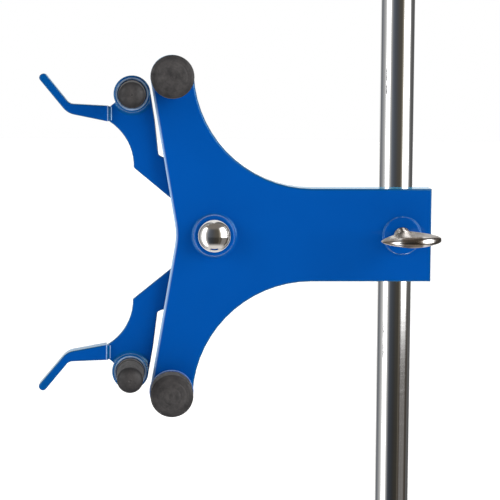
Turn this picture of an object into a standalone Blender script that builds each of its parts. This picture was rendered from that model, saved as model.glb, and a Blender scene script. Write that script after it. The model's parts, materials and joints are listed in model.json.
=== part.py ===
"""Retort stand: weighted base, upright rod and a two-jaw burette clamp.

Metres, +Z up.  The world origin is the middle of the base at the bench surface.
The clamp's front faces -Y and its jaws reach out towards -X from the rod.
Inside the clamp, lengths along Y are written as a depth behind the plate's front face.
"""
import math

import bmesh
import bpy
from mathutils import Matrix, Vector

# ---------------------------------------------------------------- driving dimensions
GAP = 0.0003                    # clearance between neighbouring pieces

BASE_LENGTH, BASE_WIDTH, BASE_THICK = 0.200, 0.130, 0.009
BASE_CORNER = 0.012
FOOT_HEIGHT, FOOT_RADIUS = 0.006, 0.009
FOOT_X, FOOT_Y = 0.084, 0.050
FOOT_BORE = 0.0022
BASE_BOTTOM = FOOT_HEIGHT + GAP
BASE_TOP = BASE_BOTTOM + BASE_THICK
BOSS_RADIUS, BOSS_HEIGHT = 0.017, 0.005

ROD_X = 0.060                   # the rod's axis, 40 mm in from the base's right end
ROD_RADIUS = 0.00635
ROD_TOP = 0.515
SOCKET_DEPTH = 0.006            # how far the rod's shoulder sinks into the base's boss
TAIL_RADIUS = 0.0048            # threaded tail below the shoulder

CLAMP_Z = 0.375                 # the clamp's mid-height
FRONT_Y = -0.0197               # the plate's front face, from the rod's axis
PLATE_HALF = 0.0171             # half the plate's height where it is straight
PLATE_RIGHT = 0.0109            # the plate's right edge, from the rod's axis
PLATE_DEPTH = 0.0105
WEB = 0.003                     # the plate's front wall
RIM = 0.003                     # the plate's rim
ARM_SWEEP = 0.0434              # radius of the arms' concave outer edge
ARM_OUTER_X = -0.0766
NOTCH_ANGLE, NOTCH_ROUND = 9.7, 0.025       # the notched side's lean, in degrees, and its middle
ROD_BLOCK_X = -0.014            # the plate is solid from here to its right edge
BOLT_BORE = 0.0028              # clearance for the pivot bolt and for the fixed pads' studs
PAD_COLLAR_RADIUS, PAD_COLLAR_HEIGHT = 0.0077, 0.0015
STOP = (-0.0724, 0.0212)        # round lug that each lever rests against when shut
STOP_RADIUS = 0.0020
SPRING_POST = (-0.0480, 0.0090)             # post that holds each spring's fixed leg
SPRING_POST_RADIUS = 0.0022

BRACKET_LEFT, BRACKET_RIGHT = -0.0125, 0.0107
BRACKET_BACK = 0.0125
BRACKET_HALF = 0.0140
PILOT_BORE = 0.00135            # holes for the bracket's screws

PIVOT_X = -0.0690
PIVOT_BOSS_RADIUS, PIVOT_BOSS_HEIGHT = 0.0076, 0.0022
DOME_RADIUS, DOME_HEIGHT = 0.0059, 0.0044
PAD_X, PAD_Z = -0.0844, 0.0576              # fixed pad, from the rod's axis
HEAD = Vector((-0.0299, 0.0512))            # jaw pad on the lever, from the pivot (x, z)
HEAD_RADIUS = 0.0067
HUB_RADIUS = 0.0075
LOWER_LEAN = 0.7                # the lower jaw rests this much further open, in degrees
LEVER_THICK = 0.0026
LEVER_DEPTH = 0.0042            # front face of both levers
LOWER_HUB_DEPTH = 0.0080        # the lower lever's hub sits behind the upper one's
STEP_INNER = 0.0105             # the lower lever's face stops at this radius and steps back
BUSH_RADIUS = 0.0036
HEAD_PROUD = 0.0015             # the head's collar, in front of the lever's face
HEAD_BEHIND = 0.0004
HEAD_RECESS_RADIUS, HEAD_RECESS_DEPTH = 0.0059, 0.0006
JAW_BORE = 0.0025               # hole through the head for the jaw pad's stud
JAW_PAD_RADIUS, JAW_PAD_FOOT = 0.0049, 0.0055
FIXED_PAD_RADIUS = 0.0078
TAB_PROUD, TAB_BEHIND = 0.0015, 0.0030

SCREW_RADIUS = 0.0030
INSERT_RADIUS = 0.0053
INSERT_DEPTH = 0.0018           # the insert is pressed in from behind, up to here
HUB_HOLE = 0.0038               # hole in the plate's front, round the screw's hub
SCREW_HUB_RADIUS = 0.0034
SCREW_BOSS_RADIUS, SCREW_BOSS_HEIGHT = 0.0073, 0.0010
WING_DEPTH = -0.0200            # centre of the wing, in front of the plate
WING_SIZE = Vector((0.0106, 0.0088, 0.0019))
WING_TURN = math.radians(2.3)
POCKET_DEPTH = 0.0076

COARSEST_STEP = 12.0            # largest facet angle of round outlines, in degrees
SAG = 0.00006                   # largest height of an arc over its facets
ROUND = 28                      # facets round a turned piece


# ---------------------------------------------------------------- modelling helpers
def material(name, colour, roughness, metallic):
    mat = bpy.data.materials.new(name)
    mat.use_nodes = True
    shader = mat.node_tree.nodes["Principled BSDF"]
    shader.inputs["Base Color"].default_value = (*colour, 1.0)
    shader.inputs["Roughness"].default_value = roughness
    shader.inputs["Metallic"].default_value = metallic
    return mat


def empty(name, parent, location):
    obj = bpy.data.objects.new(name, None)
    bpy.context.collection.objects.link(obj)
    obj.parent = parent
    obj.location = location
    return obj


def add_object(name, data, look, parent, location=(0, 0, 0)):
    obj = bpy.data.objects.new(name, data)
    bpy.context.collection.objects.link(obj)
    obj.parent = parent
    obj.location = location
    if not data.materials:
        data.materials.append(look)
    return obj


def mesh_from(bm, name):
    bmesh.ops.recalc_face_normals(bm, faces=bm.faces)
    mesh = bpy.data.meshes.new(name)
    bm.to_mesh(mesh)
    bm.free()
    mesh.shade_smooth()
    mesh.set_sharp_from_angle(angle=math.radians(35))
    return mesh


def arc_points(centre, radius, start, end):
    """Points of an arc in degrees, both ends included."""
    step = min(COARSEST_STEP, 2 * math.degrees(math.acos(1 - SAG / radius)))
    steps = max(2, math.ceil(abs(end - start) / step))
    angles = [math.radians(start + (end - start) * i / steps) for i in range(steps + 1)]
    return [(centre[0] + radius * math.cos(a), centre[1] + radius * math.sin(a)) for a in angles]


def rounded(corners):
    """Outline from (x, z, radius) corners, each corner replaced by a tangent arc."""
    outline = []
    for i, (x, z, radius) in enumerate(corners):
        corner = Vector((x, z))
        if radius == 0:
            outline.append((x, z))
            continue
        before = (Vector(corners[i - 1][:2]) - corner).normalized()
        after = (Vector(corners[(i + 1) % len(corners)][:2]) - corner).normalized()
        half = before.angle(after) / 2
        centre = corner + (before + after).normalized() * radius / math.sin(half)
        first = corner + before * radius / math.tan(half) - centre
        last = corner + after * radius / math.tan(half) - centre
        start = math.degrees(math.atan2(first.y, first.x))
        sweep = math.degrees(math.atan2(first.cross(last), first.dot(last)))
        outline += arc_points(centre, radius, start, start + sweep)
    return outline


def mirrored(outline):
    return [(x, -z) for x, z in reversed(outline)]


def prism_mesh(name, outline, start, end, upright=False):
    """Solid of an XZ outline from y = start to y = end, or of an XY outline along Z when upright."""
    bm = bmesh.new()
    places = [(u, v, start) if upright else (u, start, v) for u, v in outline]
    face = bm.faces.new([bm.verts.new(place) for place in places])
    walls = bmesh.ops.extrude_face_region(bm, geom=[face])
    moved = [v for v in walls["geom"] if isinstance(v, bmesh.types.BMVert)]
    length = end - start
    bmesh.ops.translate(bm, verts=moved, vec=(0, 0, length) if upright else (0, length, 0))
    return mesh_from(bm, name)


def turned_mesh(name, profile, hollow=False, upright=False, facets=ROUND):
    """Solid turned from (radius, along) points, along Y, or along Z when upright."""
    bm = bmesh.new()
    verts = [bm.verts.new((radius, 0, along)) for radius, along in profile]
    pairs = list(zip(verts, verts[1:]))
    if hollow:
        pairs.append((verts[-1], verts[0]))
    edges = [bm.edges.new(pair) for pair in pairs]
    bmesh.ops.spin(bm, geom=verts + edges, axis=(0, 0, 1), cent=(0, 0, 0),
                   angle=2 * math.pi, steps=facets)
    bmesh.ops.remove_doubles(bm, verts=bm.verts, dist=1e-6)
    if not upright:
        bmesh.ops.rotate(bm, verts=bm.verts, cent=(0, 0, 0), matrix=Matrix.Rotation(-math.pi / 2, 3, "X"))
    return mesh_from(bm, name)


def rod_profile(radius, start, end):
    return [(0, start), (radius, start), (radius, end), (0, end)]


def ring_profile(inner, outer, start, end):
    return [(inner, start), (outer, start), (outer, end), (inner, end)]


def peg(radius, near, far, x=0.0, z=0.0):
    """A round bar along Y, as a tool for joining or cutting."""
    mesh = turned_mesh("tool", rod_profile(radius, near, far), facets=20)
    mesh.transform(Matrix.Translation((x, 0, z)))
    return mesh


def combine(target, tool_mesh, operation):
    """Join a tool shape to an object's mesh or cut it away, and leave one plain mesh."""
    tool = bpy.data.objects.new("tool", tool_mesh)
    bpy.context.collection.objects.link(tool)
    tool.parent = target.parent
    tool.location = target.location
    step = target.modifiers.new("step", "BOOLEAN")
    step.operation = operation
    step.object = tool
    bpy.context.view_layer.update()
    result = bpy.data.meshes.new_from_object(target.evaluated_get(bpy.context.evaluated_depsgraph_get()))
    target.modifiers.remove(step)
    old = target.data
    target.data = result
    bpy.data.objects.remove(tool)
    bpy.data.meshes.remove(tool_mesh)
    bpy.data.meshes.remove(old)
    triangulate(result)


def triangulate(mesh):
    """Split many-sided faces, so that the next Boolean step meets only flat ones."""
    bm = bmesh.new()
    bm.from_mesh(mesh)
    bmesh.ops.triangulate(bm, faces=[f for f in bm.faces if len(f.verts) > 3])
    bm.to_mesh(mesh)
    bm.free()
    mesh.shade_smooth()
    mesh.set_sharp_from_angle(angle=math.radians(35))


def join(target, *tools):
    for tool in tools:
        combine(target, tool, "UNION")


def cut(target, *tools):
    for tool in tools:
        combine(target, tool, "DIFFERENCE")


# ---------------------------------------------------------------- base and rod
def build_base(looks):
    corners = [(sx * BASE_LENGTH / 2, sy * BASE_WIDTH / 2, BASE_CORNER)
               for sx, sy in ((-1, -1), (1, -1), (1, 1), (-1, 1))]
    plate = add_object("base_plate", prism_mesh("base_plate", rounded(corners), BASE_BOTTOM, BASE_TOP, True),
                       looks["blue"], None)
    top, shoulder = BASE_TOP + BOSS_HEIGHT, BASE_TOP + BOSS_HEIGHT - SOCKET_DEPTH
    recess_top = BASE_BOTTOM + 0.0045

    def upright_tool(profile, x, y):
        mesh = turned_mesh("tool", profile, upright=True, facets=24)
        mesh.transform(Matrix.Translation((x, y, 0)))
        return mesh

    join(plate, upright_tool(rod_profile(BOSS_RADIUS, BASE_BOTTOM + 0.002, top), ROD_X, 0))
    rod_hole = [(0, 0), (0.0120, 0), (0.0120, recess_top), (TAIL_RADIUS + GAP, recess_top),
                (TAIL_RADIUS + GAP, shoulder), (ROD_RADIUS + GAP, shoulder),
                (ROD_RADIUS + GAP, top + 0.01), (0, top + 0.01)]
    cut(plate, upright_tool(rod_hole, ROD_X, 0))
    screw_top = BASE_BOTTOM + 0.0050
    for x, y in foot_places():
        cut(plate, upright_tool(rod_profile(FOOT_BORE, 0, screw_top + GAP), x, y))

    foot = turned_mesh("foot", [(FOOT_BORE, 0.003), (0.0042, 0.003), (0.0042, 0), (FOOT_RADIUS, 0),
                                (FOOT_RADIUS + 0.001, FOOT_HEIGHT), (FOOT_BORE, FOOT_HEIGHT)],
                       hollow=True, upright=True)
    for number, (x, y) in enumerate(foot_places(), 1):
        add_object(f"foot_{number}", foot, looks["rubber"], None, (x, y, 0))

    screw = turned_mesh("foot_screw", [(0, 0.0006), (0.0030, 0.0006), (0.0036, 0.0012), (0.0036, 0.0027),
                                       (0.0019, 0.0027), (0.0019, screw_top), (0, screw_top)],
                        upright=True, facets=14)
    for number, (x, y) in enumerate(foot_places(), 1):
        add_object(f"foot_screw_{number}", screw, looks["steel"], None, (x, y, 0))

    tail_end = 0.0030
    rod = [(0, tail_end), (TAIL_RADIUS - 0.0006, tail_end), (TAIL_RADIUS, tail_end + 0.0006),
           (TAIL_RADIUS, shoulder + GAP), (ROD_RADIUS, shoulder + GAP),
           (ROD_RADIUS, ROD_TOP - 0.001), (ROD_RADIUS - 0.001, ROD_TOP), (0, ROD_TOP)]
    add_object("support_rod", turned_mesh("support_rod", rod, upright=True), looks["polished"], None,
               (ROD_X, 0, 0))
    washer_top = recess_top - GAP
    washer = ring_profile(TAIL_RADIUS + GAP, 0.0100, washer_top - 0.0012, washer_top)
    add_object("rod_washer", turned_mesh("rod_washer", washer, hollow=True, upright=True), looks["steel"],
               None, (ROD_X, 0, 0))
    nut_top = washer_top - 0.0012 - GAP
    nut = add_object("rod_nut", turned_mesh("rod_nut", rod_profile(0.0098, nut_top - 0.0050, nut_top),
                                            upright=True, facets=6), looks["steel"], None, (ROD_X, 0, 0))
    cut(nut, turned_mesh("tool", rod_profile(TAIL_RADIUS + GAP, 0, nut_top + 0.01), upright=True))


def foot_places():
    return [(sx * FOOT_X, sy * FOOT_Y) for sx in (-1, 1) for sy in (-1, 1)]


# ---------------------------------------------------------------- clamp body
def arm_outline(inset, last_angle):
    """An arm's concave outer edge and its round tip, up to last_angle round the tip."""
    centre = Vector((ARM_OUTER_X + ARM_SWEEP, PLATE_HALF + ARM_SWEEP))
    tip = Vector((PAD_X, PAD_Z))
    lean = math.degrees(math.atan2(centre.y - tip.y, centre.x - tip.x))
    tip_radius = (centre - tip).length - ARM_SWEEP - inset
    edge = arc_points(centre, ARM_SWEEP + inset, 270, 180 + lean)
    return edge[:-1] + arc_points(tip, tip_radius, lean, last_angle)


def plate_outline():
    """A straight bar that splits into two arms, with a shallow notch between them."""
    corner = rounded([(PLATE_RIGHT, 0, 0), (PLATE_RIGHT, PLATE_HALF, 0.001), (ARM_OUTER_X, PLATE_HALF, 0)])
    upper = corner[1:-1] + arm_outline(0, 180 + NOTCH_ANGLE)
    lean = math.radians(NOTCH_ANGLE)
    tip_side = Vector(upper[-1])
    out = Vector((-math.cos(lean), -math.sin(lean)))
    notch_centre = (-(NOTCH_ROUND + tip_side.dot(out)) / math.cos(lean), 0)
    notch = arc_points(notch_centre, NOTCH_ROUND, NOTCH_ANGLE, -NOTCH_ANGLE)
    return upper + notch + mirrored(upper)


def cavity_outline():
    """The hollow behind the front wall: it follows the rim and runs out past the notched side."""
    tip = arm_outline(RIM, 90)
    upper = [(ROD_BLOCK_X, PLATE_HALF - RIM)] + tip + [(PAD_X - 0.02, tip[-1][1])]
    return upper + mirrored(upper)


def build_clamp_plate(looks, clamp):
    front, back = FRONT_Y, FRONT_Y + PLATE_DEPTH
    plate = add_object("clamp_plate", prism_mesh("clamp_plate", plate_outline(), front, back),
                       looks["blue"], clamp)
    cut(plate, prism_mesh("tool", cavity_outline(), front + WEB, back + 0.01))
    inside = front + WEB - 0.001
    join(plate,
         peg(PIVOT_BOSS_RADIUS, front - PIVOT_BOSS_HEIGHT, front + 0.001, PIVOT_X),
         peg(SCREW_BOSS_RADIUS, front - SCREW_BOSS_HEIGHT, front + 0.001))
    for side in (1, -1):
        join(plate,
             peg(PAD_COLLAR_RADIUS, front - PAD_COLLAR_HEIGHT, front + WEB - 0.0005, PAD_X, side * PAD_Z),
             peg(0.0045, inside, front + 0.0060, PAD_X, side * PAD_Z),
             peg(STOP_RADIUS, inside, front + 0.0075, STOP[0], side * STOP[1]),
             peg(SPRING_POST_RADIUS, inside, back - 0.0005, SPRING_POST[0], side * SPRING_POST[1]))
    screw_hole = [(0, front - 0.01), (HUB_HOLE, front - 0.01), (HUB_HOLE, front + INSERT_DEPTH),
                  (INSERT_RADIUS + GAP, front + INSERT_DEPTH), (INSERT_RADIUS + GAP, front + POCKET_DEPTH),
                  (0.0058, front + POCKET_DEPTH), (0.0058, back + 0.01), (0, back + 0.01)]
    cut(plate,
        peg(BOLT_BORE, front - 0.01, back + 0.01, PIVOT_X),
        turned_mesh("tool", screw_hole, facets=24))
    for side in (1, -1):
        cut(plate, peg(BOLT_BORE, front - 0.01, back + 0.01, PAD_X, side * PAD_Z))
    for x, z in bracket_screw_places():
        cut(plate, peg(PILOT_BORE, back - 0.0070, back + 0.01, x, z))


def bracket_screw_places():
    return [(x, z) for x in (-0.0096, 0.00865) for z in (-0.0100, 0.0100)]


def build_rod_bracket(looks, clamp):
    """Saddle behind the rod: a block with a channel that ends in a vee."""
    near = FRONT_Y + PLATE_DEPTH + GAP
    channel = ROD_RADIUS + 0.0003
    touch = channel * math.sin(math.radians(45))
    # In plan, the channel's sides run back to the vee, whose two faces pass the rod at 45 degrees.
    plan = [(BRACKET_LEFT, near), (-channel, near), (-channel, channel * math.sqrt(2) - channel),
            (0, channel * math.sqrt(2)), (channel, channel * math.sqrt(2) - channel), (channel, near),
            (BRACKET_RIGHT, near), (BRACKET_RIGHT, BRACKET_BACK - touch / 2),
            (BRACKET_RIGHT - touch / 2, BRACKET_BACK), (BRACKET_LEFT + touch / 2, BRACKET_BACK),
            (BRACKET_LEFT, BRACKET_BACK - touch / 2)]
    bracket = add_object("rod_bracket", prism_mesh("rod_bracket", plan, -BRACKET_HALF, BRACKET_HALF, True),
                         looks["blue"], clamp)
    for x, z in bracket_screw_places():
        cut(bracket, peg(PILOT_BORE, near - 0.01, BRACKET_BACK + 0.01, x, z))

    shank_tip = FRONT_Y + PLATE_DEPTH - 0.0065
    head = BRACKET_BACK + GAP
    screw = turned_mesh("bracket_screw", [(0, shank_tip), (0.00105, shank_tip), (0.00105, head), (0.0020, head),
                                          (0.0020, head + 0.0012), (0.0015, head + 0.0018),
                                          (0, head + 0.0018)], facets=14)
    for number, (x, z) in enumerate(bracket_screw_places(), 1):
        add_object(f"bracket_screw_{number}", screw, looks["steel"], clamp, (x, 0, z))


def build_fixed_pads(looks, clamp):
    """Two big rubber caps on studs, one at the end of each arm."""
    front = FRONT_Y
    stud = [(0, front - 0.0080), (0.0020, front - 0.0080), (0.0025, front - 0.0075), (0.0025, front + 0.0063),
            (0.0040, front + 0.0063), (0.0040, front + 0.0075), (0, front + 0.0075)]
    base, face = front - PAD_COLLAR_HEIGHT - GAP, front - 0.0115
    cap = [(0, front - 0.0083), (0.0028, front - 0.0083), (0.0028, base), (FIXED_PAD_RADIUS, base),
           (FIXED_PAD_RADIUS, face + 0.0010), (FIXED_PAD_RADIUS - 0.0007, face + 0.0003), (0.0040, face),
           (0, face - 0.0001)]
    stud_mesh = turned_mesh("pad_stud", stud, facets=20)
    cap_mesh = turned_mesh("fixed_pad", cap)
    for name, side in (("upper", 1), ("lower", -1)):
        place = (PAD_X, 0, side * PAD_Z)
        add_object(f"{name}_pad_stud", stud_mesh, looks["steel"], clamp, place)
        add_object(f"{name}_fixed_pad", cap_mesh, looks["rubber"], clamp, place)


# ---------------------------------------------------------------- pivot stack
def build_pivot(looks, clamp):
    place = (PIVOT_X, FRONT_Y, 0)
    seat = -PIVOT_BOSS_HEIGHT - GAP
    shank = [(0, 0.0255), (0.0021, 0.0255), (0.0025, 0.0251), (0.0025, seat), (DOME_RADIUS, seat)]
    dome = [(DOME_RADIUS * math.cos(math.radians(a)), seat - 0.0006 - DOME_HEIGHT * math.sin(math.radians(a)))
            for a in range(0, 90, 10)]
    bolt = shank + dome + [(0, seat - 0.0006 - DOME_HEIGHT)]
    add_object("pivot_bolt", turned_mesh("pivot_bolt", bolt), looks["chrome"], clamp, place)

    bush = ring_profile(BOLT_BORE, BUSH_RADIUS, 0.0033, 0.0191)
    add_object("pivot_bush", turned_mesh("pivot_bush", bush, hollow=True), looks["brass"], clamp, place)
    washers = (("front_washer", 0.0033), ("middle_washer", 0.0071), ("rear_washer", 0.0109))
    for name, depth in washers:
        ring = ring_profile(0.0039, 0.0070, depth, depth + 0.0006)
        add_object(name, turned_mesh(name, ring, hollow=True), looks["nylon"], clamp, place)
    cap = ring_profile(BOLT_BORE, 0.0065, 0.0194, 0.0204)
    add_object("nut_washer", turned_mesh("nut_washer", cap, hollow=True), looks["steel"], clamp, place)
    nut = add_object("pivot_nut", turned_mesh("pivot_nut", rod_profile(0.0046, 0.0207, 0.0247), facets=6),
                     looks["steel"], clamp, place)
    cut(nut, peg(BOLT_BORE, 0, 0.03))


def build_spring(name, look, clamp, side, start_depth):
    """Torsion spring round the bush: one leg to its post, the other behind its lever."""
    wire, radius, turns, steps = 0.0005, 0.0047, 2, 14
    pitch = 0.0011
    to_post = math.atan2(side * SPRING_POST[1], SPRING_POST[0] - PIVOT_X)
    to_lever = math.atan2(side * HEAD.y, HEAD.x) - side * math.radians(6)
    sweep = side * (2 * math.pi * turns + abs(to_lever) - abs(to_post))
    count = round(steps * abs(sweep) / (2 * math.pi))
    coil = []
    for i in range(count + 1):
        angle = to_post + sweep * i / count - side * math.pi / 2
        depth = start_depth + wire + pitch * abs(sweep) / (2 * math.pi) * i / count
        coil.append(Vector((radius * math.cos(angle), depth, radius * math.sin(angle))))
    post_way = Vector((math.cos(to_post), 0, math.sin(to_post)))
    lever_way = Vector((math.cos(to_lever), 0, math.sin(to_lever)))
    post_end = coil[0] + post_way * 0.0200
    lever_end = coil[-1] + lever_way * 0.0210
    points = [Vector((post_end.x, PLATE_DEPTH - 0.0040, post_end.z)), post_end] + coil
    points += [lever_end, Vector((lever_end.x, LEVER_DEPTH + LEVER_THICK + 0.0011, lever_end.z))]
    curve = bpy.data.curves.new(name, "CURVE")
    curve.dimensions = "3D"
    curve.bevel_depth = wire
    curve.bevel_resolution = 0
    curve.use_fill_caps = True
    spline = curve.splines.new("POLY")
    spline.points.add(len(points) - 1)
    for point, place in zip(spline.points, points):
        point.co = (*place, 1)
    add_object(name, curve, look, clamp, (PIVOT_X, FRONT_Y, 0))


# ---------------------------------------------------------------- levers
def lever_arm_outline():
    """The upper lever's flat outline, from its pivot, without its round hub and head."""
    corner = (-0.0293, 0.0244, 0.0008)
    sweep_centre, sweep_radius = (-0.0485, 0.0250), 0.0192
    right = [(0.0045, 0.0050, 0), (-0.0105, 0.0282, 0), (-0.0185, 0.0282, 0.0006), (-0.0202, 0.0290, 0.0010),
             (-0.0216, 0.0417, 0), (-0.0231, 0.0512, 0), (-0.0299, 0.0530, 0), (-0.0377, 0.0468, 0)]
    sweep = [(x, z, 0) for x, z in arc_points(sweep_centre, sweep_radius, 57.5, 4)]
    return rounded([(-0.0040, 0.0034, 0)] + right + sweep + [corner])


def tab_outline():
    """The finger tab: a strip that tapers away from the lever and kicks outwards."""
    return rounded([(-0.0365, 0.0414, 0), (-0.0381, 0.0468, 0), (-0.0525, 0.0476, 0.0030),
                    (-0.0617, 0.0590, 0.00145), (-0.0640, 0.0571, 0.00145), (-0.0533, 0.0441, 0.0070),
                    (-0.0385, 0.0413, 0)])


def riser_outline():
    """Where the lower lever steps back from its face to its hub's level, just outside the hubs."""
    return [(-0.0086, 0.0076), (0.0004, 0.0112), (-0.0028, 0.0158), (-0.0131, 0.0110)]


def strap_outline():
    """The lower lever's inner end, behind the upper lever's hub."""
    return [(-0.0040, 0.0034), (0.0035, 0.0050)] + riser_outline()[1:] + riser_outline()[:1]


def build_lever(name, side, look, pivot):
    def turned_over(outline):
        return outline if side > 0 else mirrored(outline)

    near, far = LEVER_DEPTH, LEVER_DEPTH + LEVER_THICK
    lever = add_object(name, prism_mesh(name, turned_over(lever_arm_outline()), near, far), look, pivot)
    head_z = side * HEAD.y
    if side > 0:
        join(lever, peg(HUB_RADIUS, near, far))
        hub_near, hub_far = near, far
    else:
        hub_near, hub_far = LOWER_HUB_DEPTH, LOWER_HUB_DEPTH + LEVER_THICK
        cut(lever, peg(STEP_INNER, near - 0.01, far + 0.01))
        join(lever,
             prism_mesh("tool", turned_over(riser_outline()), near + 0.0002, hub_far),
             prism_mesh("tool", turned_over(strap_outline()), hub_near, hub_far),
             peg(HUB_RADIUS, hub_near, hub_far))
    join(lever,
         prism_mesh("tool", turned_over(tab_outline()), near - TAB_PROUD, far + TAB_BEHIND),
         peg(HEAD_RADIUS, near - HEAD_PROUD, far + HEAD_BEHIND, HEAD.x, head_z))
    cut(lever,
        peg(BUSH_RADIUS + GAP, hub_near - 0.01, hub_far + 0.01),
        peg(JAW_BORE, near - 0.01, far + 0.01, HEAD.x, head_z),
        peg(HEAD_RECESS_RADIUS, near - 0.01, near - HEAD_PROUD + HEAD_RECESS_DEPTH, HEAD.x, head_z))


def build_jaw(name, side, looks, pivot):
    """One lever with its stud and its long rubber jaw pad, all turning about the pivot."""
    build_lever(f"{name}_lever", side, looks["blue"], pivot)
    place = (HEAD.x, 0, side * HEAD.y)
    back = LEVER_DEPTH + LEVER_THICK + HEAD_BEHIND + GAP
    stud = [(0, -0.0120), (0.0018, -0.0120), (0.0022, -0.0115), (0.0022, back), (0.0038, back),
            (0.0038, back + 0.0011), (0, back + 0.0011)]
    add_object(f"{name}_jaw_stud", turned_mesh(f"{name}_jaw_stud", stud, facets=20), looks["steel"],
               pivot, place)
    base, shoulder, tip = LEVER_DEPTH - HEAD_PROUD + HEAD_RECESS_DEPTH - GAP, -0.0148, -0.0174
    pad = [(0, -0.0123), (JAW_BORE, -0.0123), (JAW_BORE, base), (JAW_PAD_FOOT, base), (JAW_PAD_FOOT, -0.0010),
           (JAW_PAD_RADIUS, shoulder)]
    pad += [(JAW_PAD_RADIUS * math.cos(a), shoulder + (tip - shoulder) * math.sin(a))
            for a in (math.radians(d) for d in (18, 36, 54, 72))]
    pad.append((0, tip))
    add_object(f"{name}_jaw_pad", turned_mesh(f"{name}_jaw_pad", pad), looks["rubber"], pivot, place)


# ---------------------------------------------------------------- clamping screw
def build_clamping_screw(looks, clamp):
    back = FRONT_Y + POCKET_DEPTH - GAP
    insert = ring_profile(SCREW_RADIUS + GAP, INSERT_RADIUS, FRONT_Y + INSERT_DEPTH + GAP, back)
    add_object("threaded_insert", turned_mesh("threaded_insert", insert, hollow=True), looks["brass"], clamp)

    # The pad travels along Y, and the screw turns inside it.
    pad_back = -ROD_RADIUS - GAP
    pad_front = FRONT_Y + PLATE_DEPTH - 0.0001
    travel = empty("pad_travel", clamp, (0, 0, 0))
    cup = pad_back - 0.0006
    pad = [(0, cup), (0.0019, cup), (0.0019, pad_front), (0.0050, pad_front), (0.0050, pad_back), (0, pad_back)]
    add_object("pressure_pad", turned_mesh("pressure_pad", pad), looks["nylon"], travel)

    turn = empty("screw_turn", travel, (0, 0, 0))
    hub_start, hub_end = FRONT_Y + INSERT_DEPTH, FRONT_Y - 0.0120
    wing_y = FRONT_Y + WING_DEPTH
    shank = [(0, wing_y), (0.0022, wing_y), (0.0031, hub_end), (SCREW_HUB_RADIUS, FRONT_Y - 0.0040),
             (SCREW_HUB_RADIUS, hub_start), (SCREW_RADIUS, hub_start), (SCREW_RADIUS, pad_front - GAP),
             (0.0016, pad_front - GAP), (0.0016, cup - GAP), (0, cup - GAP)]
    screw = add_object("wing_screw", turned_mesh("wing_screw", shank), looks["chrome"], turn)
    bm = bmesh.new()
    bmesh.ops.create_uvsphere(bm, u_segments=28, v_segments=12, radius=1)
    bmesh.ops.scale(bm, verts=bm.verts, vec=(WING_SIZE.x, WING_SIZE.y, WING_SIZE.z))
    bmesh.ops.rotate(bm, verts=bm.verts, cent=(0, 0, 0), matrix=Matrix.Rotation(-WING_TURN, 3, "Y"))
    bmesh.ops.translate(bm, verts=bm.verts, vec=(0, wing_y, 0))
    join(screw, mesh_from(bm, "tool"))


# ---------------------------------------------------------------- whole stand
def build_stand():
    for obj in list(bpy.data.objects):
        bpy.data.objects.remove(obj)
    looks = {
        "blue": material("blue_enamel", (0.004, 0.135, 0.50), 0.18, 0.0),
        "chrome": material("chrome", (0.85, 0.85, 0.86), 0.06, 1.0),
        "polished": material("polished_steel", (0.72, 0.73, 0.74), 0.12, 1.0),
        "steel": material("zinc_steel", (0.60, 0.61, 0.63), 0.30, 1.0),
        "brass": material("brass", (0.70, 0.52, 0.22), 0.28, 1.0),
        "rubber": material("black_rubber", (0.035, 0.034, 0.035), 0.75, 0.0),
        "nylon": material("nylon", (0.80, 0.79, 0.74), 0.45, 0.0),
    }
    build_base(looks)
    clamp = empty("clamp", None, (ROD_X, 0, CLAMP_Z))
    build_clamp_plate(looks, clamp)
    build_rod_bracket(looks, clamp)
    build_fixed_pads(looks, clamp)
    build_pivot(looks, clamp)
    build_spring("upper_spring", looks["steel"], clamp, 1, 0.0118)
    build_spring("lower_spring", looks["steel"], clamp, -1, 0.0156)
    for name, side in (("upper", 1), ("lower", -1)):
        pivot = empty(f"{name}_jaw_pivot", clamp, (PIVOT_X, FRONT_Y, 0))
        build_jaw(name, side, looks, pivot)
        if side < 0:
            pivot.rotation_euler.y = math.radians(LOWER_LEAN)
    build_clamping_screw(looks, clamp)


build_stand()
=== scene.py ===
"""Looks for the retort stand: finished castings, stampings, rubber, chrome and the studio round them.

Metres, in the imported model's frame.  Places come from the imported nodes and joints.  Inside the clamp,
x and z are measured from the rod's axis and the clamp's mid-height, and depth is how far a point lies
behind the casting's front face.
"""
import json
import math
from math import cos, pi, radians, sin

import bmesh
import bpy
from mathutils import Matrix, Vector

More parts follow.
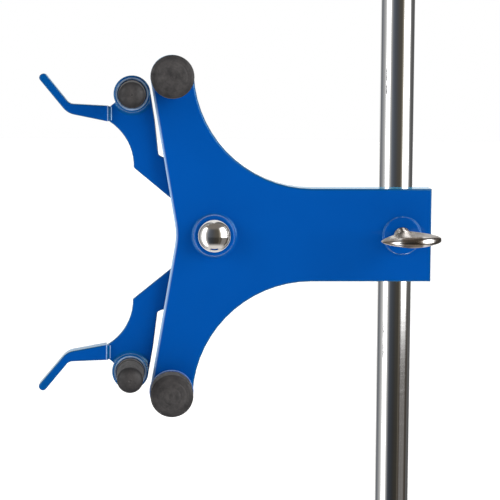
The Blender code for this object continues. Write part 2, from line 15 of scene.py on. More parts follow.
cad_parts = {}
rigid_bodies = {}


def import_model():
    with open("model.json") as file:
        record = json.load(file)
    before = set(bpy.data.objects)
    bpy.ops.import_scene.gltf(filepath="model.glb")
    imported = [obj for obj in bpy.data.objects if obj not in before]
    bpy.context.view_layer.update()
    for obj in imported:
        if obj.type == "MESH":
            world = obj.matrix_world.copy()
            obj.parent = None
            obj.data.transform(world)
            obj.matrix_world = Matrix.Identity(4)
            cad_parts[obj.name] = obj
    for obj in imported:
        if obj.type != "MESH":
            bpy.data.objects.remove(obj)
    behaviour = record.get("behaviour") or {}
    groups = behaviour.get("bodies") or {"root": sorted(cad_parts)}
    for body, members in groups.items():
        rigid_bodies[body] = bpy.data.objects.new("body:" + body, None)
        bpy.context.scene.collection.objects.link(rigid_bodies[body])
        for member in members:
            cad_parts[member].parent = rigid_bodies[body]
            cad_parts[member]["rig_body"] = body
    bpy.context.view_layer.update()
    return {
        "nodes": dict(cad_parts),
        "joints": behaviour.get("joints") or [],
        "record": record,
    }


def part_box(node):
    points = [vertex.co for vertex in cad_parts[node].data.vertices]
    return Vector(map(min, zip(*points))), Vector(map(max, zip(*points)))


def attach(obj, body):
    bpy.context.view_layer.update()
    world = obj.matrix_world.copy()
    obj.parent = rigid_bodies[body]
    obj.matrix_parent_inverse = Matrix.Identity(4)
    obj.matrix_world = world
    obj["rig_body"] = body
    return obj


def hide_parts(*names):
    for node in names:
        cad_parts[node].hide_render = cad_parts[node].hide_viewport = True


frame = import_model()

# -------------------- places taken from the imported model
joints = {joint["name"]: joint for joint in frame["joints"]}


def middle(node):
    low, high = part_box(node)
    return (low + high) / 2


ROD = middle("support_rod")
ROD_FOOT = (ROD.x, ROD.y, 0)
ROD_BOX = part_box("support_rod")
PLATE_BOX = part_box("clamp_plate")
PIVOT = Vector(joints["upper_jaw_open"]["pos_m"])
CLAMP = Vector((ROD.x, PIVOT.y, PIVOT.z))       # origin of the clamp's own lengths
ROD_RADIUS = (ROD_BOX[1].x - ROD_BOX[0].x) / 2
PLATE_RIGHT = PLATE_BOX[1].x - CLAMP.x
PLATE_DEPTH = PLATE_BOX[1].y - CLAMP.y
PIVOT_X = PIVOT.x - CLAMP.x
PAD = middle("upper_fixed_pad") - CLAMP

GAP = 0.0003                    # clearance between neighbouring pieces
BOLT_BORE = 0.0028              # clearance holes for the pivot bolt and the fixed pads' studs
SPRING_WIRE = 0.0005
BEFORE, BEYOND = 0.01, 0.03     # where cutting tools start and end when they run right through a piece
SINK = 0.0012                   # how deep an added boss reaches into the piece it stands on

# -------------------- drawn outlines
CORNER_STEP = 6.0               # facet angle of round outlines, in degrees
ROUND = 96                      # facets round a turned piece
SMALL_ROUND = 48                # facets round a small screw or post


def arc(centre, radius, start, end):
    """Points of an arc in degrees, both ends included."""
    steps = max(2, math.ceil(abs(end - start) / CORNER_STEP))
    angles = [radians(start + (end - start) * i / steps) for i in range(steps + 1)]
    return [(centre[0] + radius * cos(a), centre[1] + radius * sin(a)) for a in angles]


def soften(corners, closed=True):
    """Outline from (x, y, radius) corners, with each corner of some radius turned into an arc."""
    outline = []
    for i, (x, y, radius) in enumerate(corners):
        if radius == 0 or (not closed and i in (0, len(corners) - 1)):
            outline.append((x, y))
            continue
        corner = Vector((x, y))
        before = (Vector(corners[i - 1][:2]) - corner).normalized()
        after = (Vector(corners[(i + 1) % len(corners)][:2]) - corner).normalized()
        half = before.angle(after) / 2
        centre = corner + (before + after).normalized() * radius / sin(half)
        first = corner + before * radius / math.tan(half) - centre
        last = corner + after * radius / math.tan(half) - centre
        start = math.degrees(math.atan2(first.y, first.x))
        sweep = math.degrees(math.atan2(first.cross(last), first.dot(last)))
        outline += arc(centre, radius, start, start + sweep)
    return outline


def mirrored(outline):
    return [(x, -z) for x, z in reversed(outline)]


def area(outline):
    return sum(a[0] * b[1] - b[0] * a[1] for a, b in zip(outline, outline[1:] + outline[:1])) / 2


def inset(outline, distance):
    """The outline moved towards its left-hand side, which is its inside when it runs anticlockwise."""
    moved = []
    count = len(outline)
    for i, point in enumerate(outline):
        here = Vector(point)
        before = (here - Vector(outline[i - 1])).normalized()
        after = (Vector(outline[(i + 1) % count]) - here).normalized()
        left_before, left_after = Vector((-before.y, before.x)), Vector((-after.y, after.x))
        miter = (left_before + left_after) / max(0.35, 1 + left_before.dot(left_after))
        moved.append(tuple(here + miter * distance))
    return moved


# -------------------- meshes
PAINTED_LIGHT_ATTRIBUTE = "painted_shade_and_highlight"              # 1 where painted shade darkens an edge or hollow, -1 where a painted highlight lightens it
EDGE_STEPS = 5                  # facets round a plate's edge
SHARP, CRISP = 38, 30           # corners of more than this many degrees stay crisp


def shade(mesh, sharp=SHARP):
    mesh.shade_smooth()
    mesh.set_sharp_from_angle(angle=radians(sharp))


def add_object(name, data):
    obj = bpy.data.objects.new(name, data)
    bpy.context.scene.collection.objects.link(obj)
    return obj


def to_object(bm, name, body, look, sharp=SHARP):
    """Finish a mesh: even normals, smooth shading with crisp corners, its body, slot and material."""
    bmesh.ops.remove_doubles(bm, verts=bm.verts, dist=1e-7)
    bmesh.ops.recalc_face_normals(bm, faces=bm.faces)
    mesh = bpy.data.meshes.new(name)
    bm.to_mesh(mesh)
    bm.free()
    shade(mesh, sharp)
    obj = add_object(name, mesh)
    mesh.materials.append(look)
    weighted = obj.modifiers.new("even_normals", "WEIGHTED_NORMAL")
    weighted.keep_sharp = True
    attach(obj, body)
    return obj


def bridge(bm, first, second):
    count = len(first)
    for i in range(count):
        j = (i + 1) % count
        bm.faces.new((first[i], first[j], second[j], second[i]))


def loft(bm, rings):
    """Skin a row of loops and close both ends."""
    for first, second in zip(rings, rings[1:]):
        bridge(bm, first, second)
    bm.faces.new(rings[0])
    bm.faces.new(rings[-1])


def whole_turn(steps):
    return [2 * pi * i / steps for i in range(steps)]


def quarter(steps):
    """Angles from nought to a right angle."""
    return [pi / 2 * i / steps for i in range(steps + 1)]


def edge_profile(near, far, near_round, far_round):
    """(inset, depth, painted shade) from the near face, round its edge, down the wall and round the far
    edge; the painted shade is darkest over the near edge and fades down the wall.
    """
    margin = 0.0002
    turn = [(sin(a), cos(a)) for a in quarter(EDGE_STEPS)]
    points = [(near_round + margin, near, 0)]
    points += [(near_round * (1 - s), near + near_round * (1 - c), s) for s, c in turn]
    points += [(far_round * (1 - c), far - far_round * (1 - s), c if c < 1 else 0.3) for s, c in turn]
    points.append((far_round + margin, far, 0))
    return points


def painted_light_layer(bm):
    return bm.verts.layers.float.get(PAINTED_LIGHT_ATTRIBUTE) or bm.verts.layers.float.new(PAINTED_LIGHT_ATTRIBUTE)


def slab(bm, outline, near, far, near_round, far_round, flat="Y"):
    """A plate with rounded edges; its outline lies in XZ, or in XY when flat is Z."""
    edge = painted_light_layer(bm)
    loop = outline if area(outline) > 0 else list(reversed(outline))
    rings = []
    for distance, depth, painted_light in edge_profile(near, far, near_round, far_round):
        places = [(x, depth, z) if flat == "Y" else (x, z, depth) for x, z in inset(loop, distance)]
        rings.append([bm.verts.new(place) for place in places])
        # painted shade over the rounded edges, as edge_profile gives it
        for vert in rings[-1]:
            vert[edge] = painted_light
    for first, second in zip(rings, rings[1:]):
        bridge(bm, first, second)
    for ring in (rings[0], rings[-1]):
        edges = [bm.edges.get((a, b)) for a, b in zip(ring, ring[1:] + ring[:1])]
        bmesh.ops.triangle_fill(bm, use_beauty=True, edges=edges)


def around(radius, angle, along, axis):
    """A point at an angle round the Y or the Z axis."""
    u, v = radius * cos(angle), radius * sin(angle)
    return Vector((u, along, v) if axis == "Y" else (u, v, along))


def turned(bm, profile, place=(0, 0, 0), axis="Y", segments=ROUND):
    """Add a solid turned from (radius, along[, painted shade or highlight]) points that start and end on the
    axis, or a ring.
    """
    edge = painted_light_layer(bm)
    rings = []
    for radius, along, *painted_light in profile:
        angles = whole_turn(segments) if radius > 1e-9 else [0]
        rings.append([bm.verts.new(around(radius, a, along, axis) + Vector(place)) for a in angles])
        for vert in rings[-1]:
            vert[edge] = painted_light[0] if painted_light else 0.0
    if profile[0][0] > 0:
        rings.append(rings[0])
    for first, second in zip(rings, rings[1:]):
        if len(first) == len(second) > 1:
            bridge(bm, first, second)
        elif len(first) != len(second):
            (point,), ring = sorted((first, second), key=len)
            for i in range(segments):
                bm.faces.new((point, ring[i], ring[(i + 1) % segments]))


def drill(tool, place, radius, start, end, axis="Y", segments=ROUND):
    turned(tool, [(0, start), (radius, start), (radius, end), (0, end)], place, axis, segments)


def foot_ring(radius, surface, proud, spread, lip):
    """Profile of a round boss that flares into the surface it stands on; proud is towards the viewer."""
    top = surface - proud
    spread = min(spread, proud * 0.6)
    root, sunk = radius + spread, surface + SINK
    pairs = [(0, sunk), (root, sunk), (root, surface)]
    # the fillet carries painted shade, deepest halfway round it
    for a in quarter(5)[1:]:
        flared = radius + spread * (1 - sin(a))
        pairs.append((flared, surface - spread * (1 - cos(a)), 0.35 * sin(2 * a)))
    pairs += [(radius - lip * (1 - cos(a)), top + lip * (1 - sin(a))) for a in quarter(5)]
    return pairs


def cut_away(obj, build_tool, sharp=SHARP):
    """Cut a tool shape out of a finished piece and keep the plain mesh."""
    tool_bm = bmesh.new()
    build_tool(tool_bm)
    bmesh.ops.recalc_face_normals(tool_bm, faces=tool_bm.faces)
    tool_mesh = bpy.data.meshes.new("tool")
    tool_bm.to_mesh(tool_mesh)
    tool_bm.free()
    tool = add_object("tool", tool_mesh)
    step = obj.modifiers.new("cut", "BOOLEAN")
    step.operation = "DIFFERENCE"
    step.object = tool
    weighted = obj.modifiers["even_normals"]
    weighted.show_viewport = False
    bpy.context.view_layer.update()
    depsgraph = bpy.context.evaluated_depsgraph_get()
    result = bpy.data.meshes.new_from_object(obj.evaluated_get(depsgraph))
    obj.modifiers.remove(step)
    obj.data = result
    shade(result, sharp)
    weighted.show_viewport = True
    bpy.data.objects.remove(tool)


def tilt(bm, degrees):
    """Turn a piece about the Y axis through its origin."""
    bmesh.ops.rotate(bm, verts=bm.verts, cent=(0, 0, 0), matrix=Matrix.Rotation(radians(degrees), 3, "Y"))


def add_to(obj, build):
    """Add closed shapes to a finished piece."""
    bm = bmesh.new()
    bm.from_mesh(obj.data)
    build(bm)
    bm.to_mesh(obj.data)
    bm.free()
    shade(obj.data)


# -------------------- materials
class Nodes:
    """Short ways to add and link nodes in a shader tree."""

    def __init__(self, tree):
        self.tree = tree

    def node(self, kind, **settings):
        made = self.tree.nodes.new(kind)
        for key, value in settings.items():
            if key in made.inputs:
                made.inputs[key].default_value = value
            else:
                setattr(made, key, value)
        return made

    def link(self, output, target):
        self.tree.links.new(output, target)

    def maths(self, operation, *values):
        made = self.node("ShaderNodeMath", operation=operation)
        for socket, value in zip(made.inputs, values):
            if isinstance(value, (int, float)):
                socket.default_value = value
            else:
                self.link(value, socket)
        return made.outputs[0]

    def blend(self, factor, first, second):
        """Mix a colour output towards a plain colour."""
        made = self.node("ShaderNodeMix", data_type="RGBA")
        self.link(factor, made.inputs["Factor"])
        self.link(first, made.inputs["A"])
        made.inputs["B"].default_value = (*second, 1)
        return made.outputs["Result"]

    def ramp(self, factor, low, high, start=0.3, end=0.7):
        """Colours or greys from low to high as the factor goes from start to end."""
        made = self.node("ShaderNodeValToRGB")
        for element, place, colour in zip(made.color_ramp.elements, (start, end), (low, high)):
            element.position = place
            element.color = (*colour, 1) if isinstance(colour, tuple) else (colour, colour, colour, 1)
        self.link(factor, made.inputs["Fac"])
        return made.outputs["Color"]


class Look(Nodes):
    """A procedural material: a Principled shader with a few helper nodes."""

    def __init__(self, name, **sockets):
        self.material = bpy.data.materials.new(name)
        self.material.use_nodes = True
        super().__init__(self.material.node_tree)
        self.shader = self.tree.nodes["Principled BSDF"]
        for key, value in sockets.items():
            self.shader.inputs[key.replace("_", " ")].default_value = value
        self.coords = self.node("ShaderNodeTexCoord").outputs["Object"]

    def stretched(self, scale):
        mapping = self.node("ShaderNodeMapping", Scale=scale)
        self.link(self.coords, mapping.inputs["Vector"])
        return mapping.outputs["Vector"]

    def noise(self, scale, detail=3.0, stretch=(1, 1, 1), rough=0.5):
        made = self.node("ShaderNodeTexNoise", Scale=scale, Detail=detail, Roughness=rough)
        self.link(self.stretched(stretch), made.inputs["Vector"])
        return made.outputs["Fac"]

    # the mark of painted shade (above nought) and painted highlight (below nought)
    def painted_light(self):
        return self.node("ShaderNodeAttribute", attribute_name=PAINTED_LIGHT_ATTRIBUTE).outputs["Fac"]

    def bump(self, height, distance, strength=1.0, after=None):
        made = self.node("ShaderNodeBump", Distance=distance, Strength=strength)
        self.link(height, made.inputs["Height"])
        if after is not None:
            self.link(after, made.inputs["Normal"])
        return made.outputs["Normal"]

    def set(self, socket, output):
        self.link(output, self.shader.inputs[socket])

    def vary(self, socket, noise, low, high):
        self.set(socket, self.ramp(self.noise(*noise), low, high))

    def relief(self, *layers):
        """Bumps of (noise, distance, strength) laid over one another, the finest first."""
        normal = None
        for noise, distance, strength in layers:
            normal = self.bump(self.noise(*noise), distance, strength, normal)
        self.set("Normal", normal)


def enamel():
    """Glossy blue stoving enamel: faint orange peel and uneven depth, with painted shade over its edges and
    painted highlights on some.
    """
    look = Look("enamel", Specular_IOR_Level=0.32, Specular_Tint=(0.4, 0.8, 1.0, 1.0), Sheen_Weight=0.35,
                Sheen_Roughness=0.25, Sheen_Tint=(0.1, 0.65, 1.0, 1.0))
    depth = look.ramp(look.noise(38.0, 2.0), (0.0, 0.064, 0.312), (0.0, 0.069, 0.334))
    edge = look.painted_light()
    # painted shade: the blue darkens to deep teal where the mark is above nought
    with_painted_shade = look.blend(look.ramp(edge, 0.0, 0.9, 0.1, 0.9), depth, (0.001, 0.068, 0.15))
    # painted highlight: the blue pales where the mark is below nought
    painted_highlight = look.ramp(look.maths("MULTIPLY", edge, -1.0), 0.0, 1.0, 0.05, 1.0)
    look.set("Base Color", look.blend(painted_highlight, with_painted_shade, (0.42, 0.58, 0.8)))
    look.vary("Roughness", (260.0, 4.0), 0.06, 0.12)
    look.relief(((420.0, 2.0), 0.00001, 0.35), ((60.0, 1.0), 0.00003, 0.3))
    return look.material


def chrome():
    """Bright plating over a softly polished casting."""
    look = Look("chrome_plate", Metallic=1.0)
    bright = look.ramp(look.noise(150.0, 3.0), (0.74, 0.72, 0.69), (0.84, 0.83, 0.81))
    # painted dark reflection: where marked, the plating turns dark brown, and it is also rougher there
    painted_dark = look.ramp(look.painted_light(), 0.0, 1.0, 0.05, 0.95)
    look.set("Base Color", look.blend(painted_dark, bright, (0.21, 0.172, 0.14)))
    rough = look.ramp(look.noise(500.0, 5.0), 0.05, 0.13)
    look.set("Roughness", look.maths("MULTIPLY_ADD", painted_dark, 0.2, rough))
    look.relief(((900.0, 3.0, (1, 0.15, 1)), 0.00002, 0.35), ((240.0, 2.0), 0.00006, 0.3))
    return look.material


def ground_rod():
    """Centreless-ground steel: fine streaks along the rod and a trace of rings round it."""
    look = Look("ground_steel", Metallic=1.0)
    streaks = look.noise(900.0, 4.0, (1, 1, 0.012), 0.6)
    rings = look.noise(700.0, 3.0, (0.02, 0.02, 1), 0.6)
    look.set("Base Color", look.ramp(streaks, (0.6, 0.6, 0.6), (0.7, 0.695, 0.68)))
    look.set("Roughness", look.ramp(rings, 0.045, 0.1))
    first = look.bump(streaks, 0.00001, 0.22)
    look.set("Normal", look.bump(rings, 0.00001, 0.08, first))
    return look.material


def plain_look(name, colour, rough, grain, **sockets):
    """Clouded colour and gloss, each given as its noise and two ends, over a fine grain."""
    look = Look(name, **sockets)
    look.vary("Base Color", *colour)
    look.vary("Roughness", *rough)
    noise, strength = grain
    look.relief((noise, 0.00001, strength))
    return look.material


def moulded_rubber():
    """Black rubber greyed by handling, finely pitted, with painted shade on its sides and edges."""
    look = Look("moulded_rubber", Specular_IOR_Level=0.32)
    mottle = look.noise(260.0, 6.0, rough=0.7)
    dust = look.ramp(mottle, (0.022, 0.0205, 0.021), (0.062, 0.057, 0.056), 0.34, 0.66)
    edge = look.painted_light()
    # painted shade: the rubber darkens towards near-black where the mark is set
    look.set("Base Color", look.blend(look.ramp(edge, 0.0, 0.95, 0.0, 1.0), dust, (0.007, 0.0065, 0.008)))
    look.vary("Roughness", (700.0, 4.0), 0.5, 0.72)
    look.relief(((2600.0, 3.0), 0.00003, 0.5), ((420.0, 3.0), 0.00005, 0.35))
    return look.material


BLUE, CHROME, GROUND, RUBBER = enamel(), chrome(), ground_rod(), moulded_rubber()
ZINC = plain_look("zinc_plate", ((220.0, 4.0), (0.5, 0.51, 0.53), (0.66, 0.67, 0.68)),
                  ((900.0, 5.0), 0.22, 0.38), ((1500.0, 3.0), 0.5), Metallic=1.0)
BRASS = plain_look("turned_brass", ((300.0, 3.0), (0.6, 0.42, 0.16), (0.74, 0.56, 0.25)),
                   ((1200.0, 4.0), 0.2, 0.34), ((1800.0, 2.0, (0.1, 1, 0.1)), 0.5), Metallic=1.0)
NYLON = plain_look("natural_nylon", ((200.0, 3.0), (0.66, 0.63, 0.55), (0.76, 0.74, 0.67)),
                   ((900.0, 3.0), 0.38, 0.5), ((1200.0, 2.0), 0.4), Specular_IOR_Level=0.5)
SLOT_LOOKS = {"blue_enamel": BLUE, "chrome": CHROME, "polished_steel": GROUND, "zinc_steel": ZINC,
              "brass": BRASS, "black_rubber": RUBBER, "nylon": NYLON}
SLOTS = {subpart["node"]: subpart["material_slot"] for subpart in frame["record"]["subparts"]}


def dress_cad_nodes():
    """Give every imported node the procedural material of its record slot."""
    for node, slot in SLOTS.items():
        materials = frame["nodes"][node].data.materials
        materials.clear()
        materials.append(SLOT_LOOKS[slot])


# -------------------- the clamp's casting
PLATE_HALF = 0.0171
WEB = 0.003
RIM = 0.003
ARM_SWEEP = 0.0434              # radius of the arms' concave outer edges
ARM_OUTER_X = -0.0766
NOTCH_ANGLE, NOTCH_ROUND = 9.7, 0.025
BLOCK_X = -0.014                # solid from here to the right edge
FRONT_ROUND = 0.001
PIVOT_BOSS_RADIUS, PIVOT_BOSS_HEIGHT = 0.0075, 0.0022
HUB_HOLE = 0.0031
NOTCH_HIGHLIGHT = 0.85                   # how strong the painted highlight along the notched side's edge is
POST_ROOT = WEB - 0.0005        # posts and collars behind the web start inside it
SPRING_POST, STOP = (-0.048, 0.009), (-0.0724, 0.0212)
COLLAR_RADIUS, COLLAR_END = 0.0045, 0.006


def arm_outline(distance, last_angle):
    """An arm's concave outer edge and its round tip."""
    centre = Vector((ARM_OUTER_X + ARM_SWEEP, PLATE_HALF + ARM_SWEEP))
    tip = Vector((PAD.x, PAD.z))
    lean = math.degrees(math.atan2(centre.y - tip.y, centre.x - tip.x))
    tip_radius = (centre - tip).length - ARM_SWEEP - distance
    edge = arc(centre, ARM_SWEEP + distance, 270, 180 + lean)
    return edge[:-1] + arc(tip, tip_radius, lean, last_angle)


def plate_outline():
    """The casting's outline from its right-hand top corner, and the span of its notched side within it."""
    corner = soften([(PLATE_RIGHT, 0, 0), (PLATE_RIGHT, PLATE_HALF, 0), (ARM_OUTER_X, PLATE_HALF, 0)])
    upper = corner[1:-1] + arm_outline(0, 180 + NOTCH_ANGLE)
    lean = radians(NOTCH_ANGLE)
    out = Vector((-cos(lean), -sin(lean)))
    notch_centre = (-(NOTCH_ROUND + Vector(upper[-1]).dot(out)) / cos(lean), 0)
    notch = arc(notch_centre, NOTCH_ROUND, NOTCH_ANGLE, -NOTCH_ANGLE)
    return upper + notch + mirrored(upper), len(upper) - 1, len(upper) + len(notch) + 1


def cavity_outline():
    tip = arm_outline(RIM, 90)
    upper = [(BLOCK_X, PLATE_HALF - RIM)] + tip + [(PAD.x - 0.02, tip[-1][1])]
    return upper + mirrored(upper)


def make_casting():
    bm = bmesh.new()
    outline, notch_start, notch_end = plate_outline()
    slab(bm, outline, 0, PLATE_DEPTH, FRONT_ROUND, 0.0004)
    edge = painted_light_layer(bm)
    # painted highlight along the notched side's edge, in place of its painted shade
    for i, vert in enumerate(bm.verts):
        if notch_start <= i % len(outline) < notch_end:
            vert[edge] *= -NOTCH_HIGHLIGHT
    plate = to_object(bm, "clamp_casting", "clamp", BLUE)
    pads = [(PAD.x, 0, side * PAD.z) for side in (1, -1)]

    def cavity(tool):
        slab(tool, cavity_outline(), WEB, PLATE_DEPTH + BEFORE, 0.0006, 0.0001)

    def bores(tool):
        seat, seat_end, seat_radius, relief = 0.0018, 0.0076, 0.0056, 0.0058
        turned(tool, [(0, -BEFORE), (HUB_HOLE, -BEFORE), (HUB_HOLE, seat), (seat_radius, seat),
                      (seat_radius, seat_end), (relief, seat_end), (relief, BEYOND), (0, BEYOND)])
        for place in [(PIVOT_X, 0, 0)] + pads:
            drill(tool, place, BOLT_BORE, -BEFORE, BEYOND)

    def bosses_and_posts(bm):
        pivot_boss = foot_ring(PIVOT_BOSS_RADIUS, 0, PIVOT_BOSS_HEIGHT, 0.0012, 0.0008)
        bosses = [((PIVOT_X, 0, 0), pivot_boss, BOLT_BORE),
                  ((0, 0, 0), foot_ring(0.0069, 0, 0.001, 0.0006, 0.0006), HUB_HOLE)]
        for place, radius in zip(pads, (0.0076, 0.0079)):
            bosses.append((place, foot_ring(radius, 0, 0.0015, 0.0002, 0.0005), BOLT_BORE))
        for place, profile, bore in bosses:
            turned(bm, [(bore, profile[0][1])] + profile[1:] + [(bore, profile[-1][1])], place)
        collar = [(BOLT_BORE, COLLAR_END), (BOLT_BORE, POST_ROOT), (COLLAR_RADIUS, POST_ROOT),
                  (COLLAR_RADIUS, COLLAR_END)]
        for side, place in zip((1, -1), pads):
            turned(bm, collar, place, segments=SMALL_ROUND)
            for (x, z), radius, end in ((STOP, 0.002, 0.0075), (SPRING_POST, 0.0022, 0.01)):
                post = [(0, POST_ROOT), (radius, POST_ROOT), (radius, end - 0.0004), (radius - 0.0004, end),
                        (0, end)]
                turned(bm, post, (x, 0, side * z), segments=32)

    cut_away(plate, cavity)
    cut_away(plate, bores)
    add_to(plate, bosses_and_posts)
    plate.data.transform(Matrix.Translation(CLAMP))
    plate.visible_glossy = False
    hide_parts("clamp_plate")


# -------------------- turned pieces
def softened(corners):
    """A turned profile whose (radius, along, fillet) corners are rounded."""
    return soften(corners, closed=False)


def turn_piece(node, profile, place, look, axis="Y", segments=ROUND):
    """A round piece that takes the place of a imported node, on that node's body."""
    bm = bmesh.new()
    turned(bm, profile, axis=axis, segments=segments)
    return stand_for(bm, node, place, look)


def stand_for(bm, node, place, look, sharp=SHARP):
    """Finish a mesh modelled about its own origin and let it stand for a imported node."""
    bmesh.ops.translate(bm, verts=bm.verts, vec=place)
    obj = to_object(bm, node + "_finished", frame["nodes"][node]["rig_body"], look, sharp)
    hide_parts(node)
    return obj


def thread(radius, start, end, pitch=0.0008, depth=0.0003):
    """Profile points of a thread's crests and roots between two stations."""
    count = max(2, round(abs(end - start) / pitch))
    step = (end - start) / count
    points = []
    for i in range(count):
        points += [(radius, start + step * (i + 0.15)), (radius - depth, start + step * (i + 0.65))]
    return points + [(radius, end)]


ROD_SOCKET = 0.006              # how deep the rod's shoulder stands in the base's boss


def make_rod():
    top, bottom = ROD_BOX[1].z, ROD_BOX[0].z
    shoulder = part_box("base_plate")[1].z - ROD_SOCKET + GAP
    tail, lead, bevel = 0.0048, 0.0006, 0.0009
    profile = [(0, bottom), (tail - lead, bottom)]
    profile += thread(tail, bottom + lead, shoulder - 0.0008, 0.001)
    profile += [(tail, shoulder), (ROD_RADIUS, shoulder)]
    profile += softened([(ROD_RADIUS, shoulder, 0), (ROD_RADIUS, top - bevel, 0.0006),
                         (ROD_RADIUS - bevel, top, 0.0006), (0, top, 0)])[1:]
    turn_piece("support_rod", profile, ROD_FOOT, GROUND, "Z", 128)


def make_pivot():
    """The chromed round-headed bolt, and the washers, bush and nut behind it."""
    low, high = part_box("pivot_bolt")
    head, crown, end = (high.x - low.x) / 2, low.y - CLAMP.y, high.y - CLAMP.y
    seat = -PIVOT_BOSS_HEIGHT - GAP
    brim = seat - 0.0006
    shank, tip = 0.0025, 0.002
    dome = [(head * cos(a), brim - (brim - crown) * sin(a)) for a in quarter(20)[:-1]]
    profile = [(0, end), (tip, end)] + list(reversed(thread(shank, 0.0196, end - 0.0005)))
    profile += [(shank, 0.019), (shank, seat), (head - 0.0004, seat), (head, seat - 0.0003)]
    turn_piece("pivot_bolt", profile + dome + [(0, crown)], PIVOT, CHROME)
    turn_ring("pivot_bush", BOLT_BORE, 0.0003, BRASS)
    for node in ("front_washer", "middle_washer", "rear_washer"):
        turn_ring(node, 0.0039, 0.0002, NYLON)
    turn_ring("nut_washer", BOLT_BORE, 0.0002, ZINC)
    low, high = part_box("pivot_nut")
    bm = bmesh.new()
    nut(bm, high.x - low.x, low.y - CLAMP.y, high.y - CLAMP.y, BOLT_BORE, "Y")
    stand_for(bm, "pivot_nut", PIVOT, ZINC, CRISP)


def turn_ring(node, bore, chamfer, look, axis="Y"):
    """A washer or bush with broken edges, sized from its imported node."""
    low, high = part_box(node)
    centre = (low + high) / 2
    outer = (high.x - low.x) / 2
    half = (high.y - low.y) / 2 if axis == "Y" else (high.z - low.z) / 2
    front = [(bore, chamfer - half), (bore + chamfer, -half), (outer - chamfer, -half),
             (outer, chamfer - half)]
    profile = front + [(radius, -along) for radius, along in reversed(front)]
    return turn_piece(node, profile, centre, look, axis)


def nut(bm, corners, near, far, bore, axis):
    """A hexagon nut whose corners are turned down to a chamfer; corners is its width over them."""
    flat = corners / 2 * cos(pi / 6)
    face = flat * 0.97
    slope = math.tan(radians(30))
    bevel = 0.0004
    rings = [[] for _ in range(8)]
    for angle in whole_turn(72):
        edge = flat / cos(angle % (pi / 3) - pi / 6)
        drop = max(0.0, edge - face) * slope
        stations = [(bore, near + bevel), (bore + bevel, near), (face, near), (edge, near + drop),
                    (edge, far - drop), (face, far), (bore + bevel, far), (bore, far - bevel)]
        for ring, (radius, along) in zip(rings, stations):
            ring.append(bm.verts.new(around(radius, angle, along, axis)))
    for first, second in zip(rings, rings[1:] + rings[:1]):
        bridge(bm, first, second)


# -------------------- rubber
def make_stud(node, place, head_radius, back, head_thick, radius, tip):
    """The headed stud a rubber piece is moulded on."""
    seat = back - head_thick
    profile = softened([(0, back, 0), (head_radius, back, 0.0004), (head_radius, seat, 0.0002),
                        (radius, seat, 0), (radius, tip, 0), (0, tip, 0)])
    turn_piece(node, profile, place, ZINC, segments=64)


def make_fixed_pads():
    """Big round caps: crowned face, soft edge, three faint mould rings and a moulding pip in the middle."""
    low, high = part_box("upper_fixed_pad")
    radius, base, face = (high.x - low.x) / 2, high.y - CLAMP.y, low.y - CLAMP.y
    crown, shoulder, mould_rings = 0.0007, 0.0066, (0.0012, 0.0032, 0.0054)
    pip_radius, pip_height, lip, steps = 0.00055, 0.00014, 0.0003, 27
    front = []
    # the face's third figure is painted shade that rises towards its rim
    for i in range(1, steps):
        r = shoulder * (1 - i / steps)
        groove = sum(0.00012 * math.exp(-((r - ring) / 0.00022) ** 2) for ring in mould_rings)
        rise = pip_height + crown * (r / shoulder) ** 2 + groove
        front.append((r, face + rise, 0.25 * (r / shoulder) ** 8))
    front += [(pip_radius, face + pip_height), (pip_radius - 0.0001, face), (0, face)]
    edge = softened([(radius, base, 0), (radius, face + crown + 0.0006, 0.001),
                     (shoulder, face + crown + 0.0001, 0)])
    socket = face + 0.0034
    # painted shade: full over the back and side, lighter over the rounded edge
    profile = [(0, socket), (BOLT_BORE, socket), (BOLT_BORE, base), (radius - lip, base, 1.0),
               (radius, base - lip, 1.0), (radius, face + crown + 0.0025, 1.0)]
    profile += [(r, along, 0.4) for r, along in edge[1:]] + front
    for node, side in (("upper_fixed_pad", 1), ("lower_fixed_pad", -1)):
        place = (CLAMP.x + PAD.x, CLAMP.y, CLAMP.z + side * PAD.z)
        turn_piece(node, profile, place, RUBBER).visible_glossy = False
        make_stud(node.replace("fixed_pad", "pad_stud"), place, 0.004, 0.0075, 0.0012, 0.0025, socket + GAP)


def make_jaw_pad(name):
    """A long rubber finger: wide foot, tapering shank, domed tip with a dimple."""
    low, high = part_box(name + "_jaw_pad")
    centre = (low + high) / 2
    place = (centre.x, CLAMP.y, centre.z)
    base, tip = high.y - CLAMP.y, low.y - CLAMP.y
    shank, foot_radius, socket_radius = 0.0047, 0.0051, 0.0025
    dome_start, socket = tip + 0.0028, tip + 0.0052
    foot = softened([(socket_radius, base, 0), (foot_radius, base, 0.0002), (foot_radius, -0.0006, 0.0002),
                     (foot_radius - 0.0002, -0.001, 0.0002), (shank + 0.0001, -0.008, 0),
                     (shank, dome_start, 0)])
    # painted shade: strong over the foot and shank, fading across the dome to none at the dimple
    dome = [(shank * cos(a), dome_start - (dome_start - tip) * sin(a), cos(a) ** 2)
            for a in quarter(12)[1:-2]]
    dimple = [(0.00055, tip + 0.00008), (0.0003, tip + 0.0003), (0, tip + 0.00035)]
    profile = [(0, socket), (socket_radius, socket)] + [(r, along, 0.8) for r, along in foot] + dome + dimple
    turn_piece(name + "_jaw_pad", profile, place, RUBBER).visible_glossy = False
    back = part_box(name + "_jaw_stud")[1].y - CLAMP.y
    make_stud(name + "_jaw_stud", place, 0.0038, back, 0.0011, 0.0022, socket + GAP)


